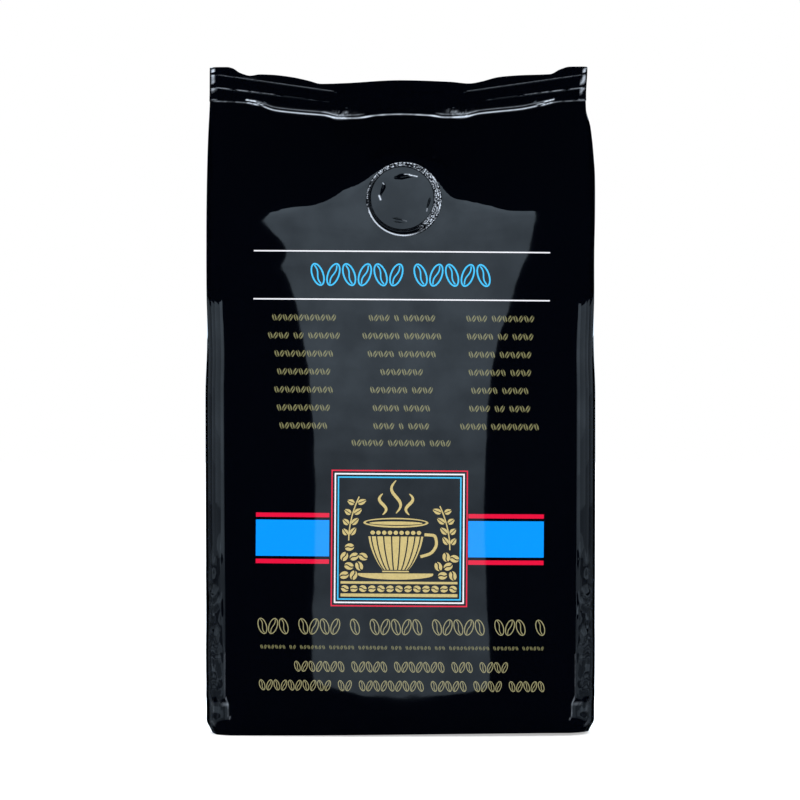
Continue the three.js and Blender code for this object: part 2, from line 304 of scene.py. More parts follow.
shape = {
    "reachLeft": [[0, 49.3], [21, 49.35], [55, 49.45], [87, 49.55], [97, 49.35], [113, 49.8], [123, 49.95],
                  [144, 50.05], [150, 50], [157, 49.8], [160, 49.65], [165, 49.5], [173, 49.6]],
    "reachRight": [[0, 49.5], [21, 49.6], [55, 49.7], [87, 49.75], [97, 49.55], [113, 50], [123, 50.1],
                   [134, 50.4], [144, 50.55], [150, 50.25], [157, 49.55], [159, 49.05],
                   [161.4, 48.45], [165, 48.35], [173, 48.8]],
    "frontDepth": [[-30, 27.36], [-20, 28.12], [-14, 28.48], [-7, 28.83], [0, 29.104], [5, 29.26],
                   [9, 29.363], [14, 29.467], [20, 29.561], [28, 29.641], [38, 29.688], [52, 29.7],
                   [95, 28.7], [125, 26.1], [147, 23.2], [162, 21]],
    "backDepth": [[0, 26.6], [10, 27.8], [30, 29], [60, 29.4], [100, 28.4], [130, 26], [150, 23.4],
                  [162, 21]],
    "crownSlope": 0.074,                 # sideways slope of the panel at the edge of its flat part
    "flatLeft": [[0, 31], [16.6, 30], [20.9, 28.8], [24.7, 27.2], [32.9, 24.6], [42, 23.1], [60.4, 22.4],
                 [69.6, 22.58], [76.5, 22.95], [85.6, 23.58], [94.8, 24.85], [104, 26.93], [110.9, 28.26],
                 [115, 30.04], [118.1, 32.43], [119.7, 34.33], [121.3, 32.87], [123.2, 31.58],
                 [125.2, 31.86], [126.7, 33.74], [128.3, 36.88], [129.8, 39.21], [131.3, 40.8],
                 [133.5, 42.11], [162, 43.94]],
    "flatRight": [[0, 30.7], [16.6, 29.7], [20.9, 28.5], [24.7, 26.9], [32.9, 24.4], [42, 23], [60.4, 22.4],
                  [71.7, 22.5], [81, 22.95], [85.6, 23.58], [94.8, 24.85], [99.4, 25.88], [104, 27.59],
                  [108.5, 29.62], [113.5, 31.72], [116.5, 33.3], [119.6, 34.47], [122.6, 36.72],
                  [126.7, 37.96], [129.8, 39.21], [132.9, 41.13], [134, 41.94], [162, 43.94]],
    "flatCorner": [[0, 30.5], [20, 28.6], [32.9, 24.5], [60, 22.4], [80, 23], [95, 25], [112, 28.4],
                   [135, 33], [162, 37]],
    "flatBlend": (37.5, 42.5),           # mm from the middle
    "flatBack": [[0, 23], [60, 22], [110, 26], [134, 36], [162, 40]],
    "footBow": 5,                        # mm, the turn to the base starts higher at the sides
    "cornerRadius": [[0, 9.5], [1.7, 10], [3.4, 11.9], [8, 11.9], [9.9, 9.95], [36, 9.9], [60, 9.65],
                     [84, 9.6], [93, 9.45], [112, 9.3], [118, 9.7], [173, 9.7]],
    "stripTop": 112.8,                   # mm, the corner leans back above this height
    "stripLean": 0.16,
    "stripLeanReach": 12.5,              # mm, height of the part that leans
    "stripLeanFade": (125, 158),
    "stripFray": 1.7,                    # mm, depth of the frays in its edge
    "stripFrayPitch": 0.5,
    "stripBlend": (36.5, 45.5),          # mm from the middle, where the corner parts from the panel
    # crumpled bands of the corner strips: top, bottom, pitch of the folds, slope
    "folds": [(37.5, 32.2, 2.7, 0.24), (27.6, 19.3, 3.1, 0.14), (15.7, 10.2, 2.6, 0.16)],
    "foldReach": (46.1, 46.9, 48.7, 49.4),
    "crumpleFrom": (44.9, 46),           # mm from the middle, where the crumpling starts and is full
    "crumpleHeights": (3.4, 60),
    "creaseSmooth": 4,                   # mm beside the gusset's crease that stays smooth
    "frayFrom": 45.6,                    # mm from the middle
    "frayHeights": (105, 128),
    "frayFade": (2, 14),                 # mm above the strip's top, where the frays die out
    "ripplePitch": 1 / 3,                # mm, changes in how crisp the seal's lines are
    "wrinkles": dict(seed=7, count=170, low=5, high=46, depth=0.15, wide=(0.45, 1.2), tall=(1.4, 4),
                     near=(45.4, 49.6), crowding=1.3),
    "cornerToEdge": 0.8,                 # the arc shrinks with the bag's depth in the shoulder
    "foldTurn": math.radians(32),        # the panel turns this much at once at the corner crease
    "lobeSwell": [[90, 0.95], [118, 0]],
    "lobeSkew": 0.8,
    "creaseInset": 0.6,
    "baseInset": [[0, 1.6], [0.3, 1.4], [0.8, 1.2], [1.7, 0.7], [2.6, 0.15], [3.2, 0]],
    "frontInset": [[0, 1.9], [1.7, 1.35], [2.8, 0.8], [3.4, 0.3], [4, 0]],
    "baseLift": 0.65,                    # mm, front edge of the base at its right end
    "liftAcross": (-52, 38),             # mm, from where to where the base rises to the right
    "liftFront": (5, 20),                # mm in front of the middle plane
    "liftHeight": 12,
    "lapHalf": (9.2, 9.6),               # mm, folds of the base
    "lapRise": 0.25,
    "flapFrom": 24,
    "flapSlant": 0.9,
    "flapRise": 0.2,
    "shoulderStart": 118,
    "shoulderFrom": [[-50, 116], [-45, 124], [-36, 132.8], [-31.9, 133.7], [-28.1, 134.6], [-23, 135.1],
                     [-19.9, 136.1], [-16.6, 137.9], [-14.1, 139.7], [-11.5, 140.5], [-8.7, 141], [0, 141],
                     [6, 139], [10.5, 136.6], [14, 136.9], [23, 135.1], [28.1, 133.6], [35.8, 133.3],
                     [45, 124], [50, 116]],
    "ledge": 0.1,                        # share of the depth that goes in the ledge at the seal
    "gussetFold": 31,
    "sealFoot": [[-50, 163.6], [-46, 163.5], [-41.7, 163.3], [-37.5, 162.8], [-32.5, 161.2], [-26, 160.45],
                 [-19.5, 159.9], [-16.1, 159.15], [-11.7, 159.2], [-5.2, 160], [0, 160.2], [7.8, 159.9],
                 [11.7, 159.4], [16.1, 159.45], [20.8, 160.4], [26, 160.95], [31.3, 161.5], [37.8, 162.8],
                 [41.7, 163.5], [50, 163.8]],
    "sealTop": [[-50, 172.75], [-45, 172.75], [-43.6, 172.4], [-41.7, 171.2], [-39, 170.45], [-36.5, 170.8],
                [-33.9, 170.75], [-28.6, 170.2], [-23.4, 169.1], [-20.8, 168.4], [-14.3, 168.6], [0, 169.3],
                [13, 168.95], [18.2, 168.5], [20.8, 168.9], [26, 170.2], [31.2, 170.6], [39.1, 170.85],
                [41.7, 172.1], [44.3, 172.85], [50, 172.9]],
    "sealHalf": 0.42,
    "layeredHalf": 0.62,
    "layerEdge": (17.4, 18.4),
    "ribOuter": (167.2, 170.6),          # mm, heights of the two ribs at the ends of the seal
    "ribInner": (163.6, 166.4),
    "ribReach": (17, 47),
    # where the inner rib shows: from, to in mm from the middle
    "ribDashes": [(24, 29.2), (29.5, 30), (30.4, 30.9), (32.5, 33.9), (34.6, 36.1), (36.7, 38.9),
                  (39.6, 42.4), (42.9, 43.4), (44.5, 47.9)],
    "ribRadius": 0.25,
    "stepRise": 0.93,                    # mm from the seal's foot to the edge of the inner film
    "stepDrop": 0.12,
    "sealLean": math.radians(16),
    "sealWave": 0.5,
    "sealWaveLength": 38,
    "pinches": [(16, 1.2, 1.3, 0.8, 0.5), (14, 2.2, 1, 0.6, -0.25), (37.5, 1, 1.2, 0.7, 0.45),
                (35.6, 0.7, 0.8, 0.5, -0.2)],        # place, height above the foot, half sizes, push
    "endCurl": 0.5,
    "endCurlFrom": 47.4,
    "seamHalf": 5,
    "seamLift": 0.5,
    "valveDrop": 0.78,                   # mm, the valve's weld sits this far below the middle of its seat
    "valveFlat": 9.8,
    "valveFade": 5.5,
}


def planeOfValve():
    points = np.array([vertex.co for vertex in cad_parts["valve"].data.vertices])
    middle = (points.min(axis=0) + points.max(axis=0)) / 2
    normal = np.linalg.svd(points - points.mean(axis=0))[2][2]
    normal *= -np.sign(normal[1])
    upward = np.array([0, 0, 1]) - normal[2] * normal
    return middle / mm - shape["valveDrop"] * upward / np.linalg.norm(upward), normal


valveMiddle, valveNormal = planeOfValve()


def footAt(x):
    return curveThrough(shape["sealFoot"], x)


def topAt(x):
    return curveThrough(shape["sealTop"], x)


def ribAt(x, which):
    near, far = shape["ribReach"]
    share = (np.abs(x) - near) / (far - near)
    return shape["ribInner"][which] + (shape["ribOuter"][which] - shape["ribInner"][which]) * share


def closing(x, z):
    start = curveThrough(shape["shoulderFrom"], x)
    turn = np.clip((z - start) / (footAt(x) - start), 0, 1)
    return (1 - shape["ledge"]) * np.cos(turn * np.pi / 2) + shape["ledge"] * np.sqrt(1 - turn ** 2)


def sealThickness(x):
    layered = smoothStep(*shape["layerEdge"], np.abs(x))
    return shape["sealHalf"] + (shape["layeredHalf"] - shape["sealHalf"]) * layered


fray = np.random.default_rng(11).uniform(0, 1, 400) ** 1.5
unevenness = np.random.default_rng(5).uniform(-1, 1, 600)


def cornerLean(x, z):
    away = np.abs(x)
    above = np.clip(z - shape["stripTop"], 0, shape["stripLeanReach"])
    lean = shape["stripLean"] * above * (1 - smoothStep(*shape["stripLeanFade"], z))
    return lean * smoothStep(*shape["stripBlend"], away)


def frontDepth(x, z):
    flat = np.where(x < 0, curveThrough(shape["flatLeft"], z), curveThrough(shape["flatRight"], z))
    bowed = z - shape["footBow"] * (np.clip(np.abs(x - 2), 0, 36) / 20) ** 2 * (1 - smoothStep(20, 55, z))
    # near the corner the crown follows a calmer curve than the panel's own flat part
    nearCorner = smoothStep(*shape["flatBlend"], np.abs(x))
    crown = (1 - nearCorner) / flat + nearCorner / curveThrough(shape["flatCorner"], z)
    body = curveThrough(shape["frontDepth"], bowed) - shape["crownSlope"] * x ** 2 / 2 * crown
    body = body - cornerLean(x, z)
    thin = sealThickness(x)
    depth = thin + (body - thin) * closing(x, z)
    away = np.hypot(x - valveMiddle[0], z - valveMiddle[2])
    hold = 1 - smoothStep(shape["valveFlat"], shape["valveFlat"] + shape["valveFade"], away)
    drop = (x - valveMiddle[0]) * valveNormal[0] + (z - valveMiddle[2]) * valveNormal[2]
    plane = -(valveMiddle[1] - drop / valveNormal[1]) - 0.35
    return depth + (plane - depth) * hold


def backDepth(x, z):
    flat = curveThrough(shape["flatBack"], z)
    body = curveThrough(shape["backDepth"], z) - shape["crownSlope"] * x ** 2 / (2 * flat)
    thin = sealThickness(x)
    seam = shape["seamLift"] * (1 - smoothStep(shape["seamHalf"] - 0.4, shape["seamHalf"], np.abs(x)))
    return thin + (body - thin) * closing(x, z) + seam


def bead(offset, radius):
    return np.sqrt(np.clip(radius ** 2 - offset ** 2, 0, None))


def sealRelief(x, z):
    away = np.abs(x)
    near, far = shape["ribReach"]
    fade = smoothStep(near - 0.6, near + 0.6, away) * (1 - smoothStep(far, far + 1, away))
    fade = fade * np.clip(0.8 + 0.55 * tableAt(unevenness, x, shape["ripplePitch"]), 0, 1)
    dashes = sum(smoothStep(low - 0.2, low + 0.1, away) * (1 - smoothStep(high - 0.1, high + 0.2, away))
                 for low, high in shape["ribDashes"])
    relief = bead(z - ribAt(x, 0), shape["ribRadius"]) * fade * (0.12 + 0.88 * dashes)
    relief = relief + bead(z - ribAt(x, 1), shape["ribRadius"]) * fade
    step = footAt(x) + shape["stepRise"]
    return relief - shape["stepDrop"] * smoothStep(step - 0.15, step + 0.15, z)


def sealShift(x, z, share):
    away = np.abs(x)
    shift = np.zeros_like(x)
    for place, rise, wide, tall, push in shape["pinches"]:
        shift = shift - push * np.exp(-((away - place) / wide) ** 2 - ((z - footAt(x) - rise) / tall) ** 2)
    shift = shift - shape["sealWave"] * share * np.cos(x * 2 * np.pi / shape["sealWaveLength"])
    shift = shift + (z - footAt(x)) * math.tan(shape["sealLean"])
    return shift + shape["endCurl"] * np.clip(away - shape["endCurlFrom"], 0, 3) ** 2 * share


bagGrid = {
    # column spacing across the panel: from, to, spacing; closer where the film is pinched
    "panelColumns": [(0, 12.6, 0.9), (12.6, 18.6, 0.375), (18.6, 30.6, 1), (30.6, 39.9, 0.372),
                     (39.9, 43.5, 0.4)],
    "edgeColumns": 9,
    "edgeFrom": 43.5,
    "cornerColumns": 18,
    "gussetColumns": 9,
    "base": [0, 0.08, 0.15, 0.3, 0.5, 0.7, 0.9, 1.2, 1.5, 1.8, 2.0, 2.2, 2.4, 2.8, 3.4, 4.0],
    "baseLoops": 10,
    "lowRows": 60,
    "lowRowsFrom": 4.6,
    "lowRowsTo": 46,
    "bodyRows": 34,
    "shoulderRows": 54,
    "shoulderCrowding": 1.5,
    "aroundRib": [-0.34, -0.27, -0.24, -0.17, -0.08, 0, 0.08, 0.17, 0.24, 0.27, 0.34],
    "aroundStep": [-0.25, -0.15, -0.08, 0, 0.08, 0.15, 0.25],
    "betweenRibs": 4,
}


def levelList():
    low = np.linspace(bagGrid["lowRowsFrom"], bagGrid["lowRowsTo"], bagGrid["lowRows"])
    body = np.linspace(bagGrid["lowRowsTo"], shape["shoulderStart"], bagGrid["bodyRows"])[1:]
    shoulder = 1 - (1 - np.linspace(0, 1, bagGrid["shoulderRows"] + 1)[1:]) ** bagGrid["shoulderCrowding"]
    return [("body", z) for z in [*bagGrid["base"], *low, *body]] + [("shoulder", t) for t in shoulder]


def sealLevels():
    # each level is a pair of knots, a share between them, and an offset in mm
    levels = [(0, 0, 0, d) for d in (0.06, 0.14, 0.25, 0.4, 0.55)]
    levels += [(1, 1, 0, d) for d in bagGrid["aroundStep"]]
    for low, high in ((1, 2), (2, 3), (3, 4)):
        levels += [(low, high, share, 0) for share in np.linspace(0, 1, bagGrid["betweenRibs"] + 2)[1:-1]]
        if high < 4:
            levels += [(high, high, 0, d) for d in bagGrid["aroundRib"]]
    return levels + [(4, 4, 0, -0.12), (4, 4, 0, 0)]


def knotHeight(x, knot):
    if knot == 0:
        return footAt(x)
    if knot == 1:
        return footAt(x) + shape["stepRise"]
    if knot == 4:
        return topAt(x)
    return np.minimum(ribAt(x, knot - 2), topAt(x) - 0.5)


def ringAt(zone, value):
    start = shape["shoulderStart"]
    seal = zone == "seal"
    turn = {"body": 0, "shoulder": value, "seal": 1}[zone]

    def heightAt(x):
        if zone == "body":
            return np.full_like(x, value)
        if zone == "shoulder":
            return start + (footAt(x) - start) * value
        low, high, share, offset = value
        return knotHeight(x, low) * (1 - share) + knotHeight(x, high) * share + offset

    # the base is set in a little at the sides, and tucked under from higher up in front
    inset, tuck = [float(np.interp(value, *np.array(shape[stops]).T)) if zone == "body" else 0
                   for stops in ("baseInset", "frontInset")]
    fold = shape["foldTurn"]
    angles = fold + (math.pi / 2 - fold) * np.linspace(0, 1, bagGrid["cornerColumns"] + 1)[1:-1] ** 1.3
    sides = {}
    for side, reachStops in ((-1, "reachLeft"), (1, "reachRight")):
        nominal = float(heightAt(np.array([49.0 * side]))[0])
        corner = float(curveThrough(shape[reachStops], nominal)) - inset
        edge = float(frontDepth(np.array([(corner - 3.0) * side]), np.array([nominal]))[0])
        radius = 0.25 if seal else min(float(curveThrough(shape["cornerRadius"], nominal)),
                                       shape["cornerToEdge"] * edge)
        crease = corner - radius * (1 - math.sin(fold))
        inner = np.concatenate([np.arange(low, high - 0.01, step) for low, high, step in
                                bagGrid["panelColumns"]] + [[bagGrid["edgeFrom"]]])
        outer = bagGrid["edgeFrom"] + (crease - bagGrid["edgeFrom"]) * np.linspace(
            0, 1, bagGrid["edgeColumns"] + 1)[1:]
        sides[side] = dict(corner=corner, crease=crease, across=np.concatenate([inner, outer]),
                           arcX=corner - radius * (1 - np.sin(angles)),
                           arcDrop=radius * (math.cos(fold) - np.cos(angles)),
                           fullDrop=radius * math.cos(fold), nominal=nominal)
    left, right = sides[-1], sides[1]
    across = np.concatenate([-left["across"][:0:-1], right["across"]])

    def depthOf(x, panel):
        z = heightAt(x)
        return (sealThickness(x) if seal else panel(x, z)) - tuck

    def panelRun(panel, sign):
        ends = depthOf(np.array([-left["crease"], right["crease"]]), panel)
        xs = np.concatenate([-left["arcX"][::-1], across, right["arcX"]])
        depths = np.concatenate([ends[0] - left["arcDrop"][::-1], depthOf(across, panel),
                                 ends[1] - right["arcDrop"]])
        zs = heightAt(xs)
        if seal:
            depths = depths + sealRelief(xs, zs)
        return np.stack([xs, sign * depths, zs], 1), (ends[0] - left["fullDrop"], ends[1] - right["fullDrop"])

    front, frontSides = panelRun(frontDepth, -1)
    back, backSides = panelRun(backDepth, 1)
    foldedIn = math.sin(turn * math.pi / 2)
    inward = shape["creaseInset"] + (shape["gussetFold"] - shape["creaseInset"]) * foldedIn
    share = np.linspace(0, 1, bagGrid["gussetColumns"] + 1)

    def gussetRun(side):
        corner, nominal = sides[side]["corner"], sides[side]["nominal"]
        lobe = float(curveThrough(shape["lobeSwell"], nominal))
        if seal:
            reach = corner + 0.15 * (1 - (1 - share) ** 2)
        else:
            reach = corner - inward * share + lobe * np.sin(np.pi * share ** shape["lobeSkew"])
        frontSide, backSide = frontSides[side > 0], backSides[side > 0]
        first = np.stack([side * reach, -frontSide * (1 - share), heightAt(side * reach)], 1)
        second = np.stack([side * reach, backSide * (1 - share), heightAt(side * reach)], 1)
        return first, second

    leftFront, leftBack = gussetRun(-1)
    rightFront, rightBack = gussetRun(1)
    ring = np.concatenate([leftFront[::-1], front, rightFront, rightBack[-2::-1], back[::-1], leftBack[:-1]])
    if seal:
        foot = footAt(ring[:, 0])
        ring[:, 1] += sealShift(ring[:, 0], ring[:, 2], (ring[:, 2] - foot) / (topAt(ring[:, 0]) - foot))
    return ring


def stripWrinkles():
    w = shape["wrinkles"]
    draw = np.random.default_rng(w["seed"])
    spots = []
    for _ in range(w["count"]):
        z = w["low"] + (w["high"] - w["low"]) * draw.uniform() ** w["crowding"]
        spots.append((draw.uniform(*w["near"]), z, draw.uniform(*w["wide"]), draw.uniform(*w["tall"]),
                      draw.uniform(-1, 1) * w["depth"]))
    return np.array(spots)


wrinkleSpots = stripWrinkles()


def foldPush(away, z):
    # rows of small folds whose long faces turn up, out of the softbox
    push = np.zeros_like(z)
    near, full, fading, gone = shape["foldReach"]
    for top, bottom, pitch, slope in shape["folds"]:
        share = ((top - z) / pitch + 0.22 * np.sin(away * 2.6 + top)) % 1
        rise = np.where(share < 0.8, share, (1 - share) * 4)
        push += slope * pitch * rise * between(bottom, top, z, 0.3)
    return push * smoothStep(near, full, away + 0.4 * np.sin(z * 1.7)) * (1 - smoothStep(fading, gone, away))


def frayPush(x, z):
    # in a frayed column the corner starts to lean back a little lower
    deep = shape["stripFray"] * tableAt(fray, x, shape["stripFrayPitch"])
    above = z - shape["stripTop"]
    return -shape["stripLean"] * np.clip(above + deep, 0, deep) * (1 - smoothStep(*shape["frayFade"], above))


def crumple(points):
    # pushes the corner strips in and out along their outward direction
    away, height = np.abs(points[:, 0]), points[:, 2]
    offCrease = np.abs(points[:, 1]) > shape["creaseSmooth"]
    near = (away > shape["crumpleFrom"][0]) & offCrease & within(shape["crumpleHeights"], height)
    spot = points[near]
    push = np.zeros(len(spot))
    for x, z, wide, tall, depth in wrinkleSpots:
        push += depth * np.exp(-((away[near] - x) / wide) ** 2 - ((spot[:, 2] - z) / tall) ** 2)
    push *= smoothStep(*shape["crumpleFrom"], away[near])
    push += foldPush(away[near], spot[:, 2])
    outward = np.stack([spot[:, 0] * 0.06, 6 * np.sign(spot[:, 1])], 1)
    outward /= np.linalg.norm(outward, axis=1, keepdims=True)
    points[near, :2] += outward * push[:, None]
    upper = (away > shape["frayFrom"]) & offCrease & within(shape["frayHeights"], height)
    points[upper, 1] += np.sign(points[upper, 1]) * frayPush(points[upper, 0], points[upper, 2])


# painted highlights on the bag: glints of the seal's ribs, foot, pinches and splayed ends, and of the bottom
# corners' edges, painted into the film's colour
paintedHighlights = {
    "speckSize": 0.3,                    # mm
    "cornerSpeckSize": 0.4,
    "cornerHeights": (2, 24),            # mm above the table
    "cornerDepth": 12,                   # mm from the middle plane, where the corners begin
    # painted highlights along hard folds and weld lines of the film; widths in mm, reach from the middle,
    # share of highlight colour
    "lines": [
        dict(on="ribOuter", reach=(17.5, 47.2), width=0.11, share=0.08, uneven=0.6),
        dict(on="ribInner", reach=(44.4, 47.6), width=0.12, share=0.25, uneven=0.3),
        dict(on="ribInner", reach=(39.6, 42.4), width=0.12, share=0.25, uneven=0.4),
        dict(on="ribInner", reach=(36.8, 38.8), width=0.12, share=0.2, uneven=0.5),
        dict(on="ribInner", reach=(32.6, 36), width=0.12, share=0.12, uneven=0.9),
        dict(on="foot", reach=(39.5, 48.5), width=0.12, share=0.15, uneven=0.9),
        dict(on="foot", reach=(17, 35.6), width=0.15, share=0.8, uneven=0.2),
        dict(on="foot", reach=(8, 19), width=0.17, share=0.65, uneven=0.5),
        dict(on="foot", reach=(-1, 10), width=0.14, share=0.6, uneven=0.5),
        dict(on="step", reach=(17, 38), width=0.14, share=0.15, uneven=0.3),
        dict(on="step", reach=(10, 20), width=0.16, share=0.2, uneven=0.9),
    ],
    # painted highlights on pinched spots: place from the middle, height above the foot, half sizes, share
    "spots": [(15.8, 0.9, 1.7, 0.6, 0.25), (13.6, 1.7, 1.2, 0.22, 0.3), (36.6, 0.5, 1, 0.3, 0.4)],
    # painted highlight strokes at the pinches: from the middle and above the foot at both ends, half width,
    # share
    "strokes": [(40, 0.9, 37.7, 0.82, 0.15, 1), (39.7, 0.15, 37, 0, 0.13, 0.8),
                (37.4, 0.45, 35.7, 0.4, 0.1, 0.4), (17.6, 0.25, 14.2, 0.1, 0.16, 0.8),
                (14.4, 1.6, 12.4, 1.9, 0.1, 0.4)],
    # painted highlights on the hard edges of the bottom corners: from the middle and above the table at both
    # ends, half width, share
    "corners": [(44.75, 21, 44.75, 10, 0.1, 0.05), (44.6, 9.9, 43.93, 8.2, 0.13, 0.16),
                (43.88, 8.2, 43.85, 5.1, 0.1, 0.1), (43.85, 5.1, 43.3, 4.2, 0.12, 0.1),
                (46.3, 8.5, 44, 8, 0.22, 0.1), (48.2, 8.6, 47.9, 6, 0.3, 0.03),
                (48.4, 3.6, 47.6, 2.6, 0.3, 0.04)],
    # painted highlights at the ends of the seal, where the layers splay: top, bottom, near and far distance
    # in from the end, each at the top and at the bottom, share
    "ends": [(172.5, 171.4, (0.1, 0.7), (0.6, 1.2), 0.7), (170.7, 168.3, (0.3, 0.5), (1.0, 1.3), 0.55),
             (167.2, 165.6, (0.5, 1.0), (1.5, 1.1), 0.35), (164.2, 163.9, (0.4, 0.5), (1.9, 1.9), 0.15),
             (162.4, 161, (0.9, 0.2), (1.15, 0.45), 0.15)],
}
speckTable = np.random.default_rng(23).uniform(0, 1, (211, 197))


def specksAt(across, along, size):
    return speckTable[np.floor(across / size).astype(int) % 211, np.floor(along / size).astype(int) % 197]


def fromLine(x, z, start, end):
    # share of the way along a line, signed distance from it, and distance beyond its ends
    (x1, z1), (x2, z2) = start, end
    length = math.hypot(x2 - x1, z2 - z1)
    ux, uz = (x2 - x1) / length, (z2 - z1) / length
    along = (x - x1) * ux + (z - z1) * uz
    across = (x - x1) * -uz + (z - z1) * ux
    beyond = np.maximum(np.maximum(-along, along - length), 0)
    return np.clip(along / length, 0, 1), across, beyond


def highlightStrokes(x, z, strokes, specks):
    # each stroke of painted highlight: both ends in mm, half width, share of highlight colour
    share = np.zeros_like(x)
    for x1, z1, x2, z2, half, strength in strokes:
        along, across, beyond = fromLine(x, z, (x1, z1), (x2, z2))
        share += strength * np.exp(-(across ** 2 + beyond ** 2) / half ** 2)
    return share * (0.5 + specks)


def paintedHighlightShare(x, z):
    # share of painted highlight on the seal: rib, foot and step lines, pinches and the splayed ends
    away = np.abs(x)
    ripple = tableAt(unevenness, x, shape["ripplePitch"])
    specks = specksAt(x, z, paintedHighlights["speckSize"])
    foot = footAt(x)
    heights = {"foot": foot + 0.1, "step": foot + shape["stepRise"], "ribInner": ribAt(x, 0),
               "ribOuter": ribAt(x, 1)}
    share = np.zeros_like(x)
    for line in paintedHighlights["lines"]:
        low, high = line["reach"]
        along = between(low, high, away, 0.5)
        strength = line["share"] * np.clip(1 + line["uneven"] * ripple, 0, 2)
        share += strength * along * np.exp(-((z - heights[line["on"]]) / line["width"]) ** 2)
    for place, rise, wide, tall, strength in paintedHighlights["spots"]:
        inside = ((away - place) / wide) ** 2 + ((z - foot - rise) / tall) ** 2
        share += strength * np.exp(-inside) * np.clip(2.2 * specks - 0.7, 0, 1.2)
    share += highlightStrokes(away, z - foot, paintedHighlights["strokes"], specks)
    edge = np.where(x < 0, curveThrough(shape["reachLeft"], z), curveThrough(shape["reachRight"], z))
    inward = edge - away
    for high, low, nearEnds, farEnds, strength in paintedHighlights["ends"]:
        down = np.clip((high - z) / (high - low), 0, 1)
        near = nearEnds[0] + (nearEnds[1] - nearEnds[0]) * down
        far = farEnds[0] + (farEnds[1] - farEnds[0]) * down
        inside = between(low, high, z, 0.15) * between(near, far, inward, 0.15)
        share += strength * inside * (0.4 + 1.1 * specks)
    return np.clip(share, 0, 1)


def setPaintedHighlightShare(piece, shares):
    # stores the painted highlight share in the "crease" attribute that the film material reads
    piece.data.attributes.new("crease", "FLOAT", "POINT").data.foreach_set("value", np.asarray(shares, float))


def baseFolds(x, y):
    # block bottom: side flaps folded in under a lengthwise lap
    lap = shape["lapRise"] * smoothStep(*shape["lapHalf"], np.abs(y))
    edge = shape["flapFrom"] + np.abs(y) * shape["flapSlant"]
    flap = shape["flapRise"] * smoothStep(-0.4, 0.4, np.abs(x) - edge)
    return lap + flap


def buildBag():
    rings = [ringAt(zone, value) for zone, value in levelList() + [("seal", level) for level in sealLevels()]]
    size = len(rings[0])
    loops = bagGrid["baseLoops"]
    base = []
    for step in range(1, loops):
        loop = rings[0].copy()
        loop[:, :2] *= 1 - step / loops
        loop[:, 2] = baseFolds(loop[:, 0], loop[:, 1]) * smoothStep(0, 2, step)
        base.append(loop)
    rows = base[::-1] + rings
    points = np.concatenate(rows + [np.zeros((1, 3))])
    crumple(points)
    lift = smoothStep(*shape["liftAcross"], points[:, 0]) * smoothStep(*shape["liftFront"], -points[:, 1])
    points[:, 2] += shape["baseLift"] * lift * (1 - smoothStep(0, shape["liftHeight"], points[:, 2]))
    centre = len(points) - 1
    around = np.arange(size)
    following = (around + 1) % size
    faces = []
    for level in range(len(rows) - 1):
        low, high = level * size, (level + 1) * size
        faces += np.stack([low + around, low + following, high + following, high + around], 1).tolist()
    faces += [(centre, int(b), int(a)) for a, b in zip(around, following)]
    top = (len(rows) - 1) * size
    for index in range(size // 2):
        opposite, other = top + (size - index) % size, top + size - index - 1
        corners = [top + index, top + index + 1, other, opposite]
        faces.append([c for at, c in enumerate(corners) if c not in corners[:at]])
    piece = makeMesh("laminateBag", points, faces, filmMaterial)
    # painted highlights on the seal, and on the edges of the bottom corners
    high = points[:, 2] > footAt(points[:, 0]) - 1
    shares = np.where(high, paintedHighlightShare(points[:, 0], points[:, 2]), 0)
    onCorner = within(paintedHighlights["cornerHeights"], points[:, 2])
    onCorner &= np.abs(points[:, 1]) > paintedHighlights["cornerDepth"]
    specks = specksAt(points[:, 0], points[:, 2], paintedHighlights["cornerSpeckSize"])
    corners = highlightStrokes(np.abs(points[:, 0]), points[:, 2], paintedHighlights["corners"], specks)
    shares = np.where(onCorner, np.clip(corners, 0, 1), shares)
    setPaintedHighlightShare(piece, shares)
    return piece


bagPiece = buildBag()
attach(bagPiece, "root")
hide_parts("bag")
print("bag made,", len(bagPiece.data.polygons), "faces")


# degassing valve: stiff disc welded behind the film, with a knurled weld round it

